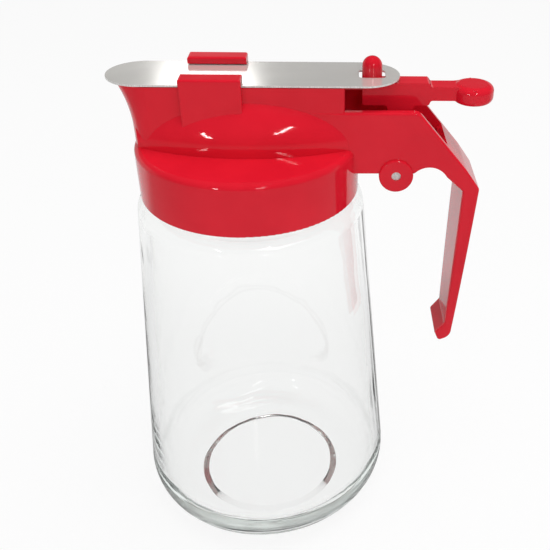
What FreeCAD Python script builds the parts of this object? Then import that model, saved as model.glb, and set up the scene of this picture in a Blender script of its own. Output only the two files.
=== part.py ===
import FreeCAD, Part
import math
import os

# Sauce dispenser: a glass jar with a moulded cap, spout and handle in one piece, and a thumb lever
# that draws a flat steel blade back off the spout.
# Frame: origin at the centre of the jar's base, +Z up, +X towards the handle, millimetres.

# ---- jar ----
base_r = 44.4            # radius where the wall line would meet the table
wall_taper = 0.083       # how much the radius shrinks for each millimetre of height
heel_r = 15.6            # rounding from the base into the wall
foot_in_r = 25.7         # inner edge of the ring that the jar stands on
push_up_r = 23.5
push_up_h = 2.6
foot_round = 0.6         # both edges of the standing ring
glass_t = 3.0
shoulder_z = 120.2
shoulder_rise = 1.0      # rise of the shoulder from the wall to the neck
shoulder_round = 4.5
neck_inset = 3.8234      # from the wall at the shoulder in to the neck
neck_t = 3.9
neck_h = 14.8            # from the shoulder's inner edge up to the rim
neck_round = 0.8
rim_round = 1.2

# ---- cap: skirt and top ----
neck_gap = 0.6           # screw-thread room between the neck and the skirt
seal_gap = 0.1           # between the jar's rim and the underside of the cap
skirt_t = 1.8
skirt_h = 16.0
cap_t = 1.9
cap_round = 1.9
skirt_round = 0.4
mouth_inset = 0.7        # the cap's mouth is this much narrower than the jar's
plastic_t = 1.8

# ---- cap: dome, a body of revolution about a level line along X ----
dome_x = 1.5
dome_r = 16.4
dome_arc_r = 70.0        # curvature of the dome along its length
dome_rise = 1.0          # its axis above the cap's top
dome_rim_gap = 1.4       # it stops this far inside the cap's edge

# ---- cap: spout trough ----
trough_half = 10.2
trough_rise = 18.3       # top of its walls above the cap's top
trough_setback = 4.2     # from the cap's edge to the trough's back
nose_setback = 0.4       # from the cap's edge to the spout's front at its foot
nose_len = 6.6           # the rounded nose at the foot
flare_foot = 4.0         # height where the nose starts to flare
flare_r = 29.5
trough_corner = 1.0

# ---- cap: clips that hold the blade down ----
clip_x = -8.15
clip_len = 17.1
clip_t = 1.85
lip_reach = 3.55
lip_t = 1.9
clip_round = 0.6
clip_foot = 10.5         # how far the clips run down the trough's walls

# ---- blade ----
blade_t = 0.5
blade_over = 0.05        # past the trough's walls on each side
blade_lead = 2.3         # overhang past the spout's lip
blade_tail = 8.0         # past the middle of the peg's slot
blade_gap = 0.2          # above the trough
clip_gap = 0.3           # above the blade and beside it
slot_end_gap = 0.9       # around the lever's peg, along the blade
slot_side_gap = 0.3
slot_corner = 1.0

# ---- handle: two plates from the cap's side, joined to a hanging grip ----
handle_half = 10.4
tip_half = 7.2           # the grip narrows to this at its tip
plate_lead = 12.0        # length over which the plates rise out of the trough's walls
plate_t = 2.2
web_t = 2.0
plate_top = 11.3         # above the cap's top
plate_bottom = 7.6       # below the cap's top
edge_round = 0.7
crest_round = 3.0
crest_reach = 17.0       # end of the level top edge; this and the next reaches are from the skirt
brow_round = 15.0
brow_reach = 31.8
brow_drop = 6.3          # this and the next drops are from the cap's top
elbow_round = 1.5
elbow_reach = 36.3
elbow_drop = 12.7
heel_round = 4.0
heel_reach = 32.1
heel_drop = 70.6
toe_round = 1.0
toe_reach = 28.1
toe_drop = 72.2
tip_round = 0.8
tip_reach = 26.5
tip_drop = 68.2
crook_round = 1.2
crook_reach = 29.6
crook_drop = 64.4
armpit_round = 0.8
armpit_reach = 31.2
armpit_drop = 13.4
arch_reach = 20.8
arch_drop = 11.4
arch_r = 6.0
arch_end = 25.0          # degrees above level where the arch meets the grip
hip_run = 2.0            # level run from there back into the arch
skirt_web_t = 0.6        # left of the web between the hollow and the skirt
hollow_round = 0.5
web_end = 9.2            # the web behind the elbow stops this far up the slope from the brow

# ---- lever ----
pivot_reach = 10.9
pivot_drop = 8.0
pin_r = 1.4
pin_gap = 0.03           # around the pin in the plates
hub_bore_gap = 0.07      # around the pin in the lever
pin_recess = 0.6
boss_r = 5.1
boss_h = 0.8
boss_round = 0.5
hub_r = 4.2
hub_side_gap = 0.25
hub_gap = 0.6            # around the hub and the arm inside the handle
lever_travel = 24.0      # degrees, thumb paddle down
lever_half = 3.0
arm_back = 2.7           # this and the next widths are from the pivot's line
arm_front = 4.8
arm_round = 1.0
arm_root_inset = 0.6     # the arm leaves the hub this far inside its edge
block_back = 10.0
block_front = 9.6
block_low = 18.8         # this and the next heights are above the pivot
block_high = 25.4
block_round = 0.8
block_back_round = 0.5   # upper corner at the back
swing_gap = 0.4          # under the blade, as the block's corner swings past
neck_low = 20.2
neck_high = 24.2
neck_flare = 7.4         # length over which the neck widens into the paddle
neck_flare_r = 5.0
paddle_reach = 22.4
flare_end = 20.0         # degrees round the paddle where the flare meets it
paddle_r = 6.1
paddle_low = 19.1
paddle_high = 24.5
paddle_round = 1.9
peg_back = 7.2
peg_r = 2.9
peg_top = 32.3

# ---- sizes, heights and places that follow from these ----
wall_r = base_r - wall_taper * shoulder_z
neck_r = wall_r - neck_inset
rim_z = shoulder_z + shoulder_rise + neck_h
cap_r = neck_r + neck_gap + skirt_t
cap_under_z = rim_z + seal_gap
cap_z = cap_under_z + cap_t
skirt_z = cap_z - skirt_h
trough_z = cap_z + trough_rise
blade_z = trough_z + blade_gap
clip_z = blade_z + blade_t + clip_gap
pivot_x = cap_r + pivot_reach
pivot_z = cap_z - pivot_drop
peg_x = pivot_x - peg_back
plate_half = handle_half - plate_t
blade_half = trough_half + blade_over
mouth_r = neck_r - neck_t - mouth_inset
trough_back_x = cap_r - trough_setback
nose_reach = cap_r - nose_setback
nose_x = nose_len - nose_reach
plate_root_x = trough_back_x - plate_lead


def vec(x, y, z):
    return FreeCAD.Vector(x, y, z)


def outline(corners):
    """Closed wire in the XZ plane through (x, z, radius) corners, each rounded by a tangent arc."""
    points = [vec(x, 0, z) for x, z, radius in corners]
    edges = []
    ends = []
    for i, (x, z, radius) in enumerate(corners):
        here = points[i]
        back = (points[i - 1] - here).normalize()
        ahead = (points[(i + 1) % len(points)] - here).normalize()
        half_angle = back.getAngle(ahead) / 2
        reach = radius / math.tan(half_angle)
        start = here + back * reach
        end = here + ahead * reach
        middle = here + (back + ahead).normalize() * (radius / math.sin(half_angle) - radius)
        ends.append((start, middle, end))
    for i, (start, middle, end) in enumerate(ends):
        if corners[i][2] > 0:
            edges.append(Part.Arc(start, middle, end).toShape())
        next_start = ends[(i + 1) % len(ends)][0]
        if (next_start - end).Length > 0.001:
            edges.append(Part.makeLine(end, next_start))
    return Part.Wire(edges)


def turned(corners):
    """Solid of revolution about Z; in each corner x is the radius."""
    return Part.Face(outline(corners)).revolve(vec(0, 0, 0), vec(0, 0, 1), 360)


def plate(corners, y_from, y_to):
    """Flat piece with an XZ outline, between two Y planes."""
    face = Part.Face(outline(corners))
    face.translate(vec(0, y_from, 0))
    return face.extrude(vec(0, y_to - y_from, 0))


def block(x_from, x_to, y_from, y_to, z_from, z_to):
    return Part.makeBox(x_to - x_from, y_to - y_from, z_to - z_from, vec(x_from, y_from, z_from))


def rod(radius, x, z, y_from, y_to):
    """Cylinder along Y."""
    return Part.makeCylinder(radius, y_to - y_from, vec(x, y_from, z), vec(0, 1, 0))


def mirrored(shape):
    """Copy on the other side of the XZ plane."""
    return shape.mirror(vec(0, 0, 0), vec(0, 1, 0))


def round_edges(shape, radius, wanted):
    """Fillet the edges for which wanted(edge) is true."""
    return shape.makeFillet(radius, [edge for edge in shape.Edges if wanted(edge)])


# ---- jar ----

def jar():
    outside = [
        (0, push_up_h, 0),
        (push_up_r, push_up_h, foot_round),
        (foot_in_r, 0, foot_round),
        (base_r, 0, heel_r),
        (wall_r, shoulder_z, shoulder_round),
        (neck_r, shoulder_z + shoulder_rise, neck_round),
        (neck_r, rim_z, rim_round),
    ]
    floor_z = push_up_h + glass_t
    under_shoulder_z = shoulder_z - glass_t
    neck_in_r = neck_r - neck_t
    inside = [
        (neck_in_r, rim_z, rim_round),
        (neck_in_r, under_shoulder_z + shoulder_rise, rim_round),
        (base_r - glass_t - wall_taper * under_shoulder_z, under_shoulder_z, shoulder_round - rim_round),
        (base_r - glass_t - wall_taper * floor_z, floor_z, heel_r - glass_t),
        (0, floor_z, 0),
    ]
    return turned(outside + inside)


# ---- cap ----

def skirt():
    """Skirt and top as one full cylinder; the bore is cut after everything is joined to it."""
    return turned([(0, skirt_z, 0), (cap_r, skirt_z, skirt_round), (cap_r, cap_z, cap_round), (0, cap_z, 0)])


def dome_body(inset):
    """Long dome turned about a level line, cut off inside the cap's edge."""
    axis_z = cap_z + dome_rise
    top_r = dome_r - inset
    half_len = math.sqrt(dome_arc_r ** 2 - (dome_arc_r - top_r) ** 2)
    left = vec(dome_x - half_len, 0, axis_z)
    right = vec(dome_x + half_len, 0, axis_z)
    arc = Part.Arc(left, vec(dome_x, 0, axis_z + top_r), right).toShape()
    face = Part.Face(Part.Wire([arc, Part.makeLine(right, left)]))
    return face.revolve(vec(0, 0, axis_z), vec(1, 0, 0), 360)


def dome():
    keep = Part.makeCylinder(cap_r - dome_rim_gap, trough_rise + cap_t, vec(0, 0, cap_under_z))
    return dome_body(0).common(keep)


def nose_front(z):
    """How far the spout's front reaches at height z: upright at the foot, then flaring in an arc."""
    rise = max(0.0, z - cap_z - flare_foot)
    return nose_reach + flare_r - math.sqrt(flare_r ** 2 - rise ** 2)


def trough_section(z, inset):
    """Level section of the spout: straight walls, a half-elliptical nose and a flat back."""
    half = trough_half - inset
    back_x = trough_back_x - inset
    stretch = FreeCAD.Matrix()
    stretch.scale((nose_front(z) - inset + nose_x) / half, 1, 1)
    half_circle = Part.Arc(vec(0, -half, 0), vec(-half, 0, 0), vec(0, half, 0)).toShape()
    nose = half_circle.transformGeometry(stretch)
    nose.translate(vec(nose_x, 0, z))
    far = Part.makeLine(vec(nose_x, half, z), vec(back_x, half, z))
    back = Part.makeLine(vec(back_x, half, z), vec(back_x, -half, z))
    near = Part.makeLine(vec(back_x, -half, z), vec(nose_x, -half, z))
    return Part.Wire([nose, far, back, near])


def trough_body(z_from, inset):
    """Spout block from z_from to the top of the trough, with the nose flaring outwards."""
    flare_z = cap_z + flare_foot
    steps = 5
    foot = Part.Face(trough_section(z_from, inset)).extrude(vec(0, 0, flare_z - z_from))
    heights = [flare_z + (trough_z - flare_z) * i / steps for i in range(steps + 1)]
    flare = Part.makeLoft([trough_section(z, inset) for z in heights], True, False)
    return foot.fuse(flare)


def spout():
    body = trough_body(cap_under_z, 0).removeSplitter()

    def at_back_corner(edge):
        box = edge.BoundBox
        return box.XLength < 0.01 and box.YLength < 0.01 and box.XMin > trough_back_x - 0.01

    return round_edges(body, trough_corner, at_back_corner)


def clip():
    """Near-side hook: an upright on the trough's wall and a lip over the blade's edge."""
    inner = blade_half + clip_gap
    outer = inner + clip_t
    x_from = clip_x - clip_len / 2
    x_to = clip_x + clip_len / 2
    upright = block(x_from, x_to, -outer, -inner, trough_z - clip_foot, clip_z + lip_t)
    lip = block(x_from, x_to, -inner, lip_reach - inner, clip_z, clip_z + lip_t)
    seat = block(x_from, x_to, -inner, -trough_half + plastic_t / 2, trough_z - clip_foot, trough_z)

    def on_the_outside(edge):
        box = edge.BoundBox
        top = box.ZMin > clip_z + lip_t - 0.01
        side = box.YMax < 0.01 - outer and box.ZMin > trough_z - clip_foot + 0.01
        end = box.YMax < 0.01 - outer and box.ZLength > lip_t
        return top or side or end

    hook = upright.fuse([lip, seat]).removeSplitter()
    return round_edges(hook, clip_round, on_the_outside)


def cap_interior():
    """Everything inside the cap that is open: bore, mouth under the dome, and the trough."""
    bore_r = neck_r + neck_gap
    bore = Part.makeCylinder(bore_r, cap_under_z - skirt_z + 1, vec(0, 0, skirt_z - 1))
    mouth = Part.makeCylinder(mouth_r, trough_rise + cap_t, vec(0, 0, cap_under_z - 0.5))
    under_dome = dome_body(plastic_t).common(mouth)
    trough = trough_body(cap_z + plastic_t, plastic_t)
    return [bore, under_dome, trough]


# ---- handle ----

def handle_outline():
    top_z = cap_z + plate_top
    bottom_z = cap_z - plate_bottom
    arch_x = cap_r + arch_reach
    arch_z = cap_z - arch_drop
    hip_z = arch_z + arch_r * math.sin(math.radians(arch_end))
    hip_x = arch_x + arch_r * math.cos(math.radians(arch_end))
    return [
        (plate_root_x, top_z, 0),
        (cap_r + crest_reach, top_z, crest_round),
        (cap_r + brow_reach, cap_z - brow_drop, brow_round),
        (cap_r + elbow_reach, cap_z - elbow_drop, elbow_round),
        (cap_r + heel_reach, cap_z - heel_drop, heel_round),
        (cap_r + toe_reach, cap_z - toe_drop, toe_round),
        (cap_r + tip_reach, cap_z - tip_drop, tip_round),
        (cap_r + crook_reach, cap_z - crook_drop, crook_round),
        (cap_r + armpit_reach, cap_z - armpit_drop, armpit_round),
        (hip_x, hip_z, 0),
        (hip_x - hip_run, bottom_z, 0),
        (plate_root_x, bottom_z, 0),
    ]


def grip_bow_r():
    """Radius of the bow that narrows each side of the grip from the elbow to the tip."""
    narrowing = handle_half - tip_half
    return ((toe_drop - elbow_drop) ** 2 + narrowing ** 2) / (2 * narrowing)


def handle_side(z):
    """Half the handle's width at height z: even down to the elbow, then bowed in to the tip."""
    below_elbow = max(0.0, cap_z - elbow_drop - z)
    bow_r = grip_bow_r()
    return handle_half - bow_r + math.sqrt(bow_r ** 2 - below_elbow ** 2)


def beside_grip(side):
    """What is cut away on one side of the grip, from the elbow down."""
    elbow_z = cap_z - elbow_drop
    toe_z = cap_z - toe_drop - 1
    top, middle, foot = [
        vec(cap_r, side * handle_side(z), z) for z in (elbow_z, (elbow_z + toe_z) / 2, toe_z)
    ]
    outer_y = side * (handle_half + 1)
    bow = Part.Arc(top, middle, foot).toShape()
    corners = [foot, vec(cap_r, outer_y, toe_z), vec(cap_r, outer_y, elbow_z), top]
    face = Part.Face(Part.Wire([bow] + Part.makePolygon(corners).Edges))
    return face.extrude(vec(elbow_reach + 1, 0, 0))


def handle_blank():
    """Handle as one full-width piece, its grip narrowed, its long edges rounded and its root eased."""
    body = plate(handle_outline(), -handle_half, handle_half)
    for side in (-1, 1):
        body = body.cut(beside_grip(side))

    def on_the_outside(edge):
        box = edge.BoundBox
        one_side = box.YMin * box.YMax > 0 and box.XMax > trough_back_x
        on_face = all(abs(abs(end.Y) - handle_side(end.Z)) < 0.01 for end in edge.Vertexes)
        across_elbow = box.ZLength < 0.01 and abs(box.ZMin - cap_z + elbow_drop) < 0.01
        return one_side and on_face and not across_elbow
    body = round_edges(body, edge_round, on_the_outside)
    arch = rod(arch_r, cap_r + arch_reach, cap_z - arch_drop, -handle_half, handle_half)
    body = body.cut(arch)
    wedge_end_x = trough_back_x - edge_round
    for side in (-1, 1):
        corners = [
            vec(plate_root_x - 1, side * trough_half, 0),
            vec(plate_root_x, side * trough_half, 0),
            vec(wedge_end_x, side * handle_half, 0),
            vec(plate_root_x - 1, side * handle_half, 0),
        ]
        wedge = Part.Face(Part.makePolygon(corners + corners[:1]))
        wedge.translate(vec(0, 0, cap_z - plate_bottom - 1))
        body = body.cut(wedge.extrude(vec(0, 0, plate_top + plate_bottom + 2)))
    return body


def handle_hollow():
    """Room between the plates for the lever: open above, closed by webs below and behind."""
    top_z = pivot_z + block_high
    skirt_web_x = cap_r + skirt_web_t
    floor_z = cap_z - plate_bottom + web_t
    brow_x = cap_r + brow_reach
    brow_z = cap_z - brow_drop
    crest_x = cap_r + crest_reach
    slope = math.atan2(cap_z + plate_top - brow_z, brow_x - crest_x)
    inward_x = -web_t * math.sin(slope)
    inward_z = -web_t * math.cos(slope)
    corner_x = brow_x + inward_x - (floor_z - brow_z - inward_z) / math.tan(slope)
    mouth_x = brow_x - web_end * math.cos(slope)
    mouth_z = brow_z + web_end * math.sin(slope)
    return [
        (trough_back_x, top_z, 0),
        (trough_back_x, cap_z + plastic_t, 0),
        (skirt_web_x, cap_z + plastic_t, 0),
        (skirt_web_x, floor_z, hollow_round),
        (corner_x, floor_z, hollow_round),
        (mouth_x + inward_x, mouth_z + inward_z, 0),
        (mouth_x - 2 * inward_x, mouth_z - 2 * inward_z, 0),
        (mouth_x - 2 * inward_x, top_z, 0),
    ]


def handle_cuts():
    room = plate(handle_hollow(), -plate_half, plate_half)
    arch_web = rod(arch_r + web_t, cap_r + arch_reach, cap_z - arch_drop, -plate_half, plate_half)
    hub_room = rod(hub_r + hub_gap, pivot_x, pivot_z, -plate_half, plate_half)
    arm_half = lever_half + hub_gap
    arm_x = pivot_x + arm_front + hub_gap
    arm_room = block(pivot_x, arm_x, -arm_half, arm_half, pivot_z, pivot_z + block_low)
    arm_room.rotate(vec(pivot_x, 0, pivot_z), vec(0, 1, 0), lever_travel)
    end_y = handle_half + boss_h
    pin_hole = rod(pin_r + pin_gap, pivot_x, pivot_z, -end_y, end_y)
    return [room.cut(arch_web), hub_room, arm_room, pin_hole]


def boss():
    """Near-side round boss around the pin, its rim rounded."""
    disc = rod(boss_r, pivot_x, pivot_z, -handle_half - boss_h, -plate_half)
    return round_edges(disc, boss_round, lambda edge: edge.BoundBox.YMax < -handle_half)


def cap():
    near_pieces = [clip(), boss()]
    far_pieces = [mirrored(piece) for piece in near_pieces]
    body = skirt()
    for piece in [dome(), spout(), handle_blank()] + near_pieces + far_pieces:
        body = body.fuse(piece).removeSplitter()
    for hollow in cap_interior() + handle_cuts():
        body = body.cut(hollow)
    return body


# ---- steel pieces ----

def pin():
    end_y = handle_half + boss_h - pin_recess
    return rod(pin_r, pivot_x, pivot_z, -end_y, end_y)


def blade():
    """Long flat strip with round ends and a slot for the lever's peg."""
    tip_x = -nose_front(trough_z) - blade_lead
    tail_x = peg_x + blade_tail
    top_z = blade_z + blade_t
    end_centres = [tip_x + blade_half, tail_x - blade_half]
    strip = block(end_centres[0], end_centres[1], -blade_half, blade_half, blade_z, top_z)
    ends = [Part.makeCylinder(blade_half, blade_t, vec(x, 0, blade_z)) for x in end_centres]
    slot_x = peg_r + slot_end_gap
    slot_y = peg_r + slot_side_gap
    slot = block(peg_x - slot_x, peg_x + slot_x, -slot_y, slot_y, blade_z, top_z)
    slot = round_edges(slot, slot_corner, lambda edge: edge.BoundBox.ZLength > blade_t / 2)
    return strip.fuse(ends).removeSplitter().cut(slot)


# ---- lever ----

def lever_outline():
    """Arm, block and neck; the arm leaves the hub on both sides of the pivot's line."""
    low_z = pivot_z + block_low
    return [
        (pivot_x - arm_back, pivot_z, 0),
        (pivot_x - arm_back, low_z, arm_round),
        (pivot_x - block_back, low_z, block_round),
        (pivot_x - block_back, pivot_z + block_high, block_back_round),
        (pivot_x + block_front, pivot_z + block_high, block_round),
        (pivot_x + block_front, pivot_z + neck_high, block_round),
        (pivot_x + paddle_reach, pivot_z + neck_high, 0),
        (pivot_x + paddle_reach, pivot_z + neck_low, 0),
        (pivot_x + block_front, pivot_z + neck_low, block_round),
        (pivot_x + block_front, low_z, block_round),
        (pivot_x + arm_front, low_z, arm_round),
        (pivot_x + hub_r - arm_root_inset, pivot_z, 0),
    ]


def neck_flare_piece():
    """Widening of the neck into the paddle, seen from above as a smooth spoon shape."""
    paddle_x = pivot_x + paddle_reach
    flare_x = paddle_x - neck_flare
    wide = paddle_r * math.cos(math.radians(flare_end))
    corners = [
        (flare_x, lever_half, 0),
        (flare_x + neck_flare / 3, lever_half, neck_flare_r),
        (paddle_x, wide, 0),
        (paddle_x, -wide, 0),
        (flare_x + neck_flare / 3, -lever_half, neck_flare_r),
        (flare_x, -lever_half, 0),
    ]
    face = Part.Face(outline(corners))
    face.rotate(vec(0, 0, 0), vec(1, 0, 0), 90)
    face.translate(vec(0, 0, pivot_z + neck_low))
    return face.extrude(vec(0, 0, neck_high - neck_low))


def lever():
    stick = plate(lever_outline(), -lever_half, lever_half)
    swing = rod(blade_z - pivot_z - swing_gap, pivot_x, pivot_z, -lever_half, lever_half)
    front = block(pivot_x, pivot_x + paddle_reach, -lever_half, lever_half, pivot_z, blade_z)
    stick = stick.common(swing.fuse(front)).removeSplitter()
    paddle = turned([
        (0, pivot_z + paddle_low, 0),
        (paddle_r, pivot_z + paddle_low, paddle_round),
        (paddle_r, pivot_z + paddle_high, paddle_round),
        (0, pivot_z + paddle_high, 0),
    ])
    paddle.translate(vec(pivot_x + paddle_reach, 0, 0))
    flare = neck_flare_piece()
    hub_half = plate_half - hub_side_gap
    hub = rod(hub_r, pivot_x, pivot_z, -hub_half, hub_half)
    peg_len = peg_top - block_high - peg_r + 1
    peg = Part.makeCylinder(peg_r, peg_len, vec(peg_x, 0, pivot_z + block_high - 1))
    knob = Part.makeSphere(peg_r, vec(peg_x, 0, pivot_z + peg_top - peg_r))
    body = stick.fuse([paddle, flare, hub, peg, knob]).removeSplitter()
    return body.cut(rod(pin_r + hub_bore_gap, pivot_x, pivot_z, -hub_half, hub_half))


def main():
    os.makedirs("parts", exist_ok=True)
    pieces = {"jar": jar(), "cap": cap(), "pivot_pin": pin(), "blade": blade(), "lever": lever()}
    for name, shape in pieces.items():
        shape.Solids[0].exportStep(f"parts/{name}.step")
        print(name, len(shape.Solids), shape.isValid(), round(shape.Volume))


main()
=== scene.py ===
import math

import bpy
from mathutils import Matrix, Vector

# Sauce dispenser: clear glass jar, glossy red moulded cap and lever, brushed steel blade.
# Units are metres; the frame's origin is the centre of the jar's base, +X towards the handle.

# ---- camera ----
CAMERA_PLACE = (0.02526, -0.22464, 0.23451)
CAMERA_YAW = 3.48          # degrees, to the right of +Y
CAMERA_PITCH = 34.35       # degrees below the horizon
CAMERA_ROLL = 1.58         # degrees
CAMERA_LENS = 52.36
CAMERA_SENSOR = 36         # lens and sensor in millimetres
CAMERA_SHIFT = (-0.1796, 0.0337)
CAMERA_CLIP = (0.01, 20)

# ---- colours ----
PLASTIC_RED = (0.76, 0.012, 0.029)
PLASTIC_RED_DEEP = (0.69, 0.009, 0.024)
STEEL_PALE = (0.86, 0.84, 0.80)
STEEL_DARK = (0.80, 0.78, 0.745)
STEEL_CUT = (0.95, 0.94, 0.92)
STEEL_CUT_DARK = (0.70, 0.69, 0.67)
GLASS_TINT = (0.998, 0.999, 0.997)
GLASS_THICK_TINT = (0.78, 0.88, 0.83)

# ---- texture scales: roughly how many features lie along a metre ----
CLOUD_SCALE = 45.0         # slow change in the plastic's colour
RIPPLE_SCALE = 150.0
GRAIN_SCALE = 3000.0
STREAK_SCALE = 2400.0      # across the steel's brushing
STREAK_STRETCH = (0.02, 1.0, 1.0)
SMUDGE_SCALE = 60.0
BURR_SCALE = 3000.0
BURR_STRETCH = (1.0, 1.0, 0.1)
TURNING_SCALE = 2200.0
WAVE_SCALE = 30.0          # waviness of the pressed glass
WAVE_STRETCH = (1.0, 1.0, 0.6)

# ---- surfaces ----
PLASTIC_IOR = 1.46
PLASTIC_ROUGHNESS = (0.04, 0.08)
STEEL_METALLIC = 0.5
STEEL_ROUGHNESS = (0.12, 0.18)
CUT_METALLIC = 0.25
CUT_ROUGHNESS = (0.3, 0.45)
FLAT_FACE = (0.5, 0.9)     # upright part of the normal, from a cut edge to a flat face
PIN_METALLIC = 0.35
PIN_ROUGHNESS = (0.3, 0.5)
GLASS_IOR = 1.5
GLASS_DENSITY = 7.0
PLASTIC_BUMP = (0.10, 0.0003)  # each bump is a strength and a depth
STEEL_BUMP = (0.06, 0.00002)
PIN_BUMP = (0.2, 0.00005)
GLASS_BUMP = (0.35, 0.002)
NOISE_BAND = (0.3, 0.7)    # the part of a noise value's range that is spread over a measure
COLOUR_BAND = (0.35, 0.65)

# ---- floor and sky ----
FLOOR_HALF = 3.0
FLOOR_DROP = 0.0002        # clear of the jar's foot
FLOOR_WHITE = (0.90, 0.90, 0.90, 1)
FLOOR_GREY = (0.42, 0.42, 0.42, 1)
FLOOR_TURN = (0.07, 0.16)  # Y where the floor turns from grey to white in reflections
FLOOR_GLOW = 0.88          # share of plain white that the camera sees; the rest shows the shadow
SKY_SHADES = {"white": 1.0, "room": 0.45, "dark": 0.10, "pale": 0.50}
BACKDROP_TOP = (0.34, 0.26)   # Z of a direction, where the pale backdrop ends
BACKDROP_SIDE = (-0.1, 0.4)   # Y of a direction, where it starts and is full

# ---- lights ----
OVERHEAD = {"place": (0.2, -0.1, 1.1), "target": (0, 0, 0.12), "size": (0.7, 0.7), "power": 6.4}
DOME = (0, 0, 0.145)
WINDOWS = {
    "window_left": ((-0.51, -1.07, 0.32), (-0.59, -0.98, 0.50), DOME, 0.04, 0.9),
    "window_right": ((0.19, -1.12, 0.52), (0.37, -0.93, 0.80), DOME, 0.04, 1.5),
}
SHEEN = {"place": (-0.17, 1.0, 0.56), "target": (0, 0, 0.157), "size": (0.166, 0.18), "power": 0.23}
ALL_BOUNCES = 24           # light runs far round the glass foot
GLOSSY_BOUNCES = 16


# ---- materials ----

def new_material(name):
    """Empty node material; returns the material, its tree and its output node."""
    material = bpy.data.materials.new(name)
    material.use_nodes = True
    tree = material.node_tree
    tree.nodes.clear()
    return material, tree, tree.nodes.new("ShaderNodeOutputMaterial")


def add_node(tree, kind, **inputs):
    """New node; keywords set input sockets, with _ for a space in the socket's name."""
    node = tree.nodes.new(kind)
    for name, value in inputs.items():
        node.inputs[name.replace("_", " ")].default_value = value
    return node


def object_coordinates(tree, scale=(1, 1, 1)):
    """Position in the frame, stretched by scale, for textures that keep their real size."""
    coordinates = tree.nodes.new("ShaderNodeTexCoord")
    mapping = tree.nodes.new("ShaderNodeMapping")
    mapping.inputs["Scale"].default_value = scale
    tree.links.new(coordinates.outputs["Object"], mapping.inputs["Vector"])
    return mapping.outputs["Vector"]


def separate(tree, vector):
    """Node whose X, Y and Z outputs are the parts of a vector."""
    node = tree.nodes.new("ShaderNodeSeparateXYZ")
    tree.links.new(vector, node.inputs["Vector"])
    return node


def noise(tree, vector, scale, detail=3.0, roughness=0.5):
    node = add_node(tree, "ShaderNodeTexNoise", Scale=scale, Detail=detail, Roughness=roughness)
    tree.links.new(vector, node.inputs["Vector"])
    return node.outputs["Fac"]


def spread(tree, value, low, high):
    """Maps a noise value to the range from low to high."""
    bottom, top = NOISE_BAND
    node = add_node(
        tree, "ShaderNodeMapRange", From_Min=bottom, From_Max=top, To_Min=low, To_Max=high
    )
    tree.links.new(value, node.inputs["Value"])
    return node.outputs["Result"]


def two_colours(tree, value, first, second):
    ramp = tree.nodes.new("ShaderNodeValToRGB")
    for element, position, colour in zip(ramp.color_ramp.elements, COLOUR_BAND, (first, second)):
        element.position = position
        element.color = (*colour, 1)
    tree.links.new(value, ramp.inputs["Fac"])
    return ramp.outputs["Color"]


def bump(tree, height, strength, distance):
    node = add_node(tree, "ShaderNodeBump", Strength=strength, Distance=distance)
    tree.links.new(height, node.inputs["Height"])
    return node.outputs["Normal"]


def ramp_between(tree, value, low, high):
    """0 before low, 1 past high, eased in between; low may be the larger, to fall instead."""
    node = add_node(tree, "ShaderNodeMapRange", From_Min=low, From_Max=high)
    node.interpolation_type = "SMOOTHSTEP"
    tree.links.new(value, node.inputs["Value"])
    return node.outputs["Result"]


def math_node(tree, operation, first, second):
    node = tree.nodes.new("ShaderNodeMath")
    node.operation = operation
    tree.links.new(first, node.inputs[0])
    tree.links.new(second, node.inputs[1])
    return node.outputs["Value"]


def mix_shaders(tree, share, first, second):
    node = tree.nodes.new("ShaderNodeMixShader")
    tree.links.new(share, node.inputs[0])
    tree.links.new(first, node.inputs[1])
    tree.links.new(second, node.inputs[2])
    return node.outputs["Shader"]


def clear_rays(tree, path):
    """1 for rays from the camera and rays that have come through glass."""
    camera_ray = path.outputs["Is Camera Ray"]
    return math_node(tree, "MAXIMUM", camera_ray, path.outputs["Is Transmission Ray"])


def moulded_plastic(name, colour, deep_colour):
    """Glossy injection-moulded plastic: slight clouding of the colour, fine ripple in the gloss."""
    material, tree, output = new_material(name)
    vector = object_coordinates(tree)
    surface = add_node(tree, "ShaderNodeBsdfPrincipled", IOR=PLASTIC_IOR)
    clouds = noise(tree, vector, CLOUD_SCALE)
    ripple = noise(tree, vector, RIPPLE_SCALE, detail=2.0)
    grain = noise(tree, vector, GRAIN_SCALE, detail=1.0)
    tree.links.new(two_colours(tree, clouds, deep_colour, colour), surface.inputs["Base Color"])
    tree.links.new(spread(tree, grain, *PLASTIC_ROUGHNESS), surface.inputs["Roughness"])
    tree.links.new(bump(tree, ripple, *PLASTIC_BUMP), surface.inputs["Normal"])
    tree.links.new(surface.outputs["BSDF"], output.inputs["Surface"])
    return material


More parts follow.
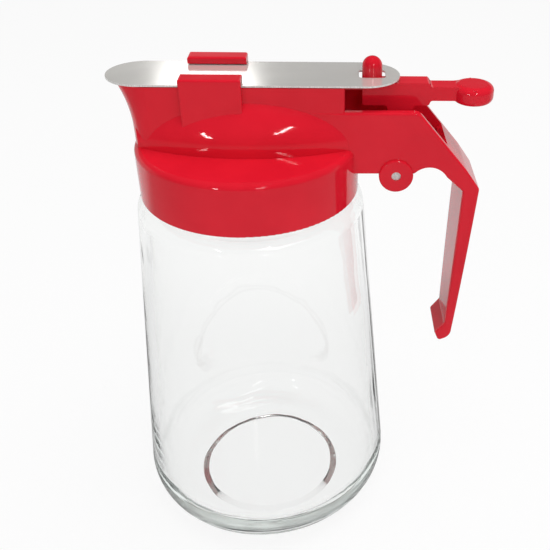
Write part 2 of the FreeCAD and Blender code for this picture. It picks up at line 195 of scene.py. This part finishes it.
def brushed_steel(name, pale, dark):
    """Steel strip brushed along X: fine streaks in roughness and relief, satin cut edges."""
    material, tree, output = new_material(name)
    along = object_coordinates(tree, STREAK_STRETCH)
    streaks = noise(tree, along, STREAK_SCALE, detail=4.0, roughness=0.7)
    smudges = noise(tree, object_coordinates(tree), SMUDGE_SCALE)
    surface = add_node(tree, "ShaderNodeBsdfPrincipled", Metallic=STEEL_METALLIC)
    tree.links.new(two_colours(tree, smudges, dark, pale), surface.inputs["Base Color"])
    tree.links.new(spread(tree, streaks, *STEEL_ROUGHNESS), surface.inputs["Roughness"])
    tree.links.new(bump(tree, streaks, *STEEL_BUMP), surface.inputs["Normal"])
    cut = add_node(tree, "ShaderNodeBsdfPrincipled", Metallic=CUT_METALLIC)
    burrs = noise(tree, object_coordinates(tree, BURR_STRETCH), BURR_SCALE)
    tree.links.new(two_colours(tree, burrs, STEEL_CUT_DARK, STEEL_CUT), cut.inputs["Base Color"])
    tree.links.new(spread(tree, burrs, *CUT_ROUGHNESS), cut.inputs["Roughness"])
    shape = tree.nodes.new("ShaderNodeNewGeometry")
    facing = separate(tree, shape.outputs["True Normal"])
    upright = add_node(tree, "ShaderNodeMath")
    upright.operation = "ABSOLUTE"
    tree.links.new(facing.outputs["Z"], upright.inputs[0])
    flat = ramp_between(tree, upright.outputs["Value"], *FLAT_FACE)
    both = mix_shaders(tree, flat, cut.outputs["BSDF"], surface.outputs["BSDF"])
    tree.links.new(both, output.inputs["Surface"])
    return material


def pin_steel(name):
    """Cut end of the pin: satin steel with faint turning marks."""
    material, tree, output = new_material(name)
    marks = noise(tree, object_coordinates(tree), TURNING_SCALE, detail=2.0)
    surface = add_node(tree, "ShaderNodeBsdfPrincipled", Metallic=PIN_METALLIC)
    tree.links.new(two_colours(tree, marks, STEEL_CUT_DARK, STEEL_CUT), surface.inputs["Base Color"])
    tree.links.new(spread(tree, marks, *PIN_ROUGHNESS), surface.inputs["Roughness"])
    tree.links.new(bump(tree, marks, *PIN_BUMP), surface.inputs["Normal"])
    tree.links.new(surface.outputs["BSDF"], output.inputs["Surface"])
    return material


def jar_glass(name):
    """Clear pressed glass, faintly green through its thickness, with a slow waviness."""
    material, tree, output = new_material(name)
    vector = object_coordinates(tree, WAVE_STRETCH)
    waves = noise(tree, vector, WAVE_SCALE, detail=3.0, roughness=0.35)
    surface = add_node(
        tree, "ShaderNodeBsdfPrincipled", IOR=GLASS_IOR, Roughness=0.0, Transmission_Weight=1.0
    )
    surface.inputs["Base Color"].default_value = (*GLASS_TINT, 1)
    tree.links.new(bump(tree, waves, *GLASS_BUMP), surface.inputs["Normal"])
    tree.links.new(surface.outputs["BSDF"], output.inputs["Surface"])
    absorption = add_node(tree, "ShaderNodeVolumeAbsorption", Density=GLASS_DENSITY)
    absorption.inputs["Color"].default_value = (*GLASS_THICK_TINT, 1)
    tree.links.new(absorption.outputs["Volume"], output.inputs["Volume"])
    return material


def dress_nodes(nodes):
    """Gives each CAD node its material."""
    plastic = moulded_plastic("red_plastic", PLASTIC_RED, PLASTIC_RED_DEEP)
    steel = brushed_steel("steel", STEEL_PALE, STEEL_DARK)
    finishes = {
        "jar": jar_glass("clear_glass"),
        "cap": plastic,
        "lever": plastic,
        "blade": steel,
        "pivot_pin": pin_steel("pin_steel"),
    }
    for name, material in finishes.items():
        mesh = nodes[name].data
        mesh.materials.clear()
        mesh.materials.append(material)


# ---- stage, lights and camera ----

def white_floor():
    """Broad floor: white to the camera and through glass, greyer in front in reflections."""
    mesh = bpy.data.meshes.new("floor")
    corners_of_floor = [
        (x * FLOOR_HALF, y * FLOOR_HALF, 0) for x, y in ((-1, -1), (1, -1), (1, 1), (-1, 1))
    ]
    mesh.from_pydata(corners_of_floor, [], [(0, 1, 2, 3)])
    floor = bpy.data.objects.new("floor", mesh)
    floor.location.z = -FLOOR_DROP
    bpy.context.scene.collection.objects.link(floor)
    material, tree, output = new_material("floor_white")
    path = tree.nodes.new("ShaderNodeLightPath")
    split = separate(tree, object_coordinates(tree))
    board = add_node(tree, "ShaderNodeBsdfDiffuse", Color=FLOOR_WHITE)
    grey_board = add_node(tree, "ShaderNodeBsdfDiffuse", Color=FLOOR_GREY)
    seen = add_node(tree, "ShaderNodeEmission", Strength=1.0)
    behind = ramp_between(tree, split.outputs["Y"], *FLOOR_TURN)
    mirrored = mix_shaders(tree, behind, grey_board.outputs["BSDF"], board.outputs["BSDF"])
    lit = mix_shaders(tree, path.outputs["Is Glossy Ray"], board.outputs["BSDF"], mirrored)
    glow = add_node(tree, "ShaderNodeMath")
    glow.operation = "MULTIPLY"
    glow.inputs[1].default_value = FLOOR_GLOW
    tree.links.new(clear_rays(tree, path), glow.inputs[0])
    shown = mix_shaders(tree, glow.outputs["Value"], lit, seen.outputs["Emission"])
    tree.links.new(shown, output.inputs["Surface"])
    mesh.materials.append(material)


def sky():
    """White to the camera and through glass; in reflections dark, with a pale low backdrop behind."""
    world = bpy.data.worlds.new("room")
    bpy.context.scene.world = world
    world.use_nodes = True
    tree = world.node_tree
    tree.nodes.clear()
    output = tree.nodes.new("ShaderNodeOutputWorld")
    path = tree.nodes.new("ShaderNodeLightPath")
    coordinates = tree.nodes.new("ShaderNodeTexCoord")
    split = separate(tree, coordinates.outputs["Generated"])
    low = ramp_between(tree, split.outputs["Z"], *BACKDROP_TOP)
    behind = ramp_between(tree, split.outputs["Y"], *BACKDROP_SIDE)
    backdrop = math_node(tree, "MULTIPLY", low, behind)
    shades = {}
    for name, strength in SKY_SHADES.items():
        shade = add_node(tree, "ShaderNodeBackground", Color=(1, 1, 1, 1), Strength=strength)
        shades[name] = shade.outputs["Background"]
    mirrored = mix_shaders(tree, backdrop, shades["dark"], shades["pale"])
    lit = mix_shaders(tree, path.outputs["Is Glossy Ray"], shades["room"], mirrored)
    shown = mix_shaders(tree, clear_rays(tree, path), lit, shades["white"])
    tree.links.new(shown, output.inputs["Surface"])


def add_light(name, matrix, size, power, shape):
    light = bpy.data.lights.new(name, "AREA")
    light.shape = shape
    light.size, light.size_y = size
    light.energy = power
    lamp = bpy.data.objects.new(name, light)
    lamp.matrix_world = matrix
    bpy.context.scene.collection.objects.link(lamp)
    return lamp


def softbox(name, place, target, size, power, shape="RECTANGLE"):
    """Studio light aimed at a point."""
    turn = (Vector(target) - Vector(place)).to_track_quat("-Z", "Y").to_matrix().to_4x4()
    return add_light(name, Matrix.Translation(place) @ turn, size, power, shape)


def strip_light(name, foot, head, target, width, power):
    """Long narrow light from foot to head, facing a point."""
    along = Vector(head) - Vector(foot)
    middle = (Vector(head) + Vector(foot)) / 2
    up = along.normalized()
    side = up.cross(middle - Vector(target)).normalized()
    axes = Matrix((side, up, side.cross(up))).transposed().to_4x4()
    matrix = Matrix.Translation(middle) @ axes
    return add_light(name, matrix, (width, along.length), power, "RECTANGLE")


def studio(blade):
    """Overhead softbox, two narrow windows in front, and a sheen that only the blade takes."""
    overhead = softbox("overhead", **OVERHEAD)
    overhead.visible_glossy = False
    for name, window in WINDOWS.items():
        strip_light(name, *window)
    sheen = softbox("window_back", **SHEEN, shape="ELLIPSE")
    lit_by_sheen = bpy.data.collections.new("lit_by_sheen")
    lit_by_sheen.objects.link(blade)
    sheen.light_linking.receiver_collection = lit_by_sheen


def camera():
    """Camera at the photograph's viewing angle."""
    yaw = math.radians(CAMERA_YAW)
    pitch = math.radians(CAMERA_PITCH)
    forward = Vector((
        math.sin(yaw) * math.cos(pitch),
        math.cos(yaw) * math.cos(pitch),
        -math.sin(pitch),
    ))
    level = Vector((math.cos(yaw), -math.sin(yaw), 0))
    upward = level.cross(forward)
    turn = Matrix.Rotation(math.radians(-CAMERA_ROLL), 3, forward)
    data = bpy.data.cameras.new("camera")
    data.lens = CAMERA_LENS
    data.sensor_width = CAMERA_SENSOR
    data.shift_x, data.shift_y = CAMERA_SHIFT
    data.clip_start, data.clip_end = CAMERA_CLIP
    seat = bpy.data.objects.new("camera", data)
    turned = Matrix((turn @ level, turn @ upward, -forward)).transposed().to_4x4()
    seat.matrix_world = Matrix.Translation(CAMERA_PLACE) @ turned
    bpy.context.scene.collection.objects.link(seat)
    bpy.context.scene.camera = seat


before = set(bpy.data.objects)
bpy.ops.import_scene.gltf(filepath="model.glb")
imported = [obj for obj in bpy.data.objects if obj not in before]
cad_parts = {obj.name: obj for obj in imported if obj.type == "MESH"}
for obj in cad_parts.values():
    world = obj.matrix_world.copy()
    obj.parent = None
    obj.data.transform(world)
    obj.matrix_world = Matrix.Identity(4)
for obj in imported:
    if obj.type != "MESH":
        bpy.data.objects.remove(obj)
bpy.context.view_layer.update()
dress_nodes(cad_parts)
white_floor()
sky()
studio(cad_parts["blade"])
camera()
bpy.context.scene.view_settings.view_transform = "Standard"
bpy.context.scene.cycles.max_bounces = ALL_BOUNCES
bpy.context.scene.cycles.glossy_bounces = GLOSSY_BOUNCES
bpy.context.scene.cycles.transmission_bounces = ALL_BOUNCES
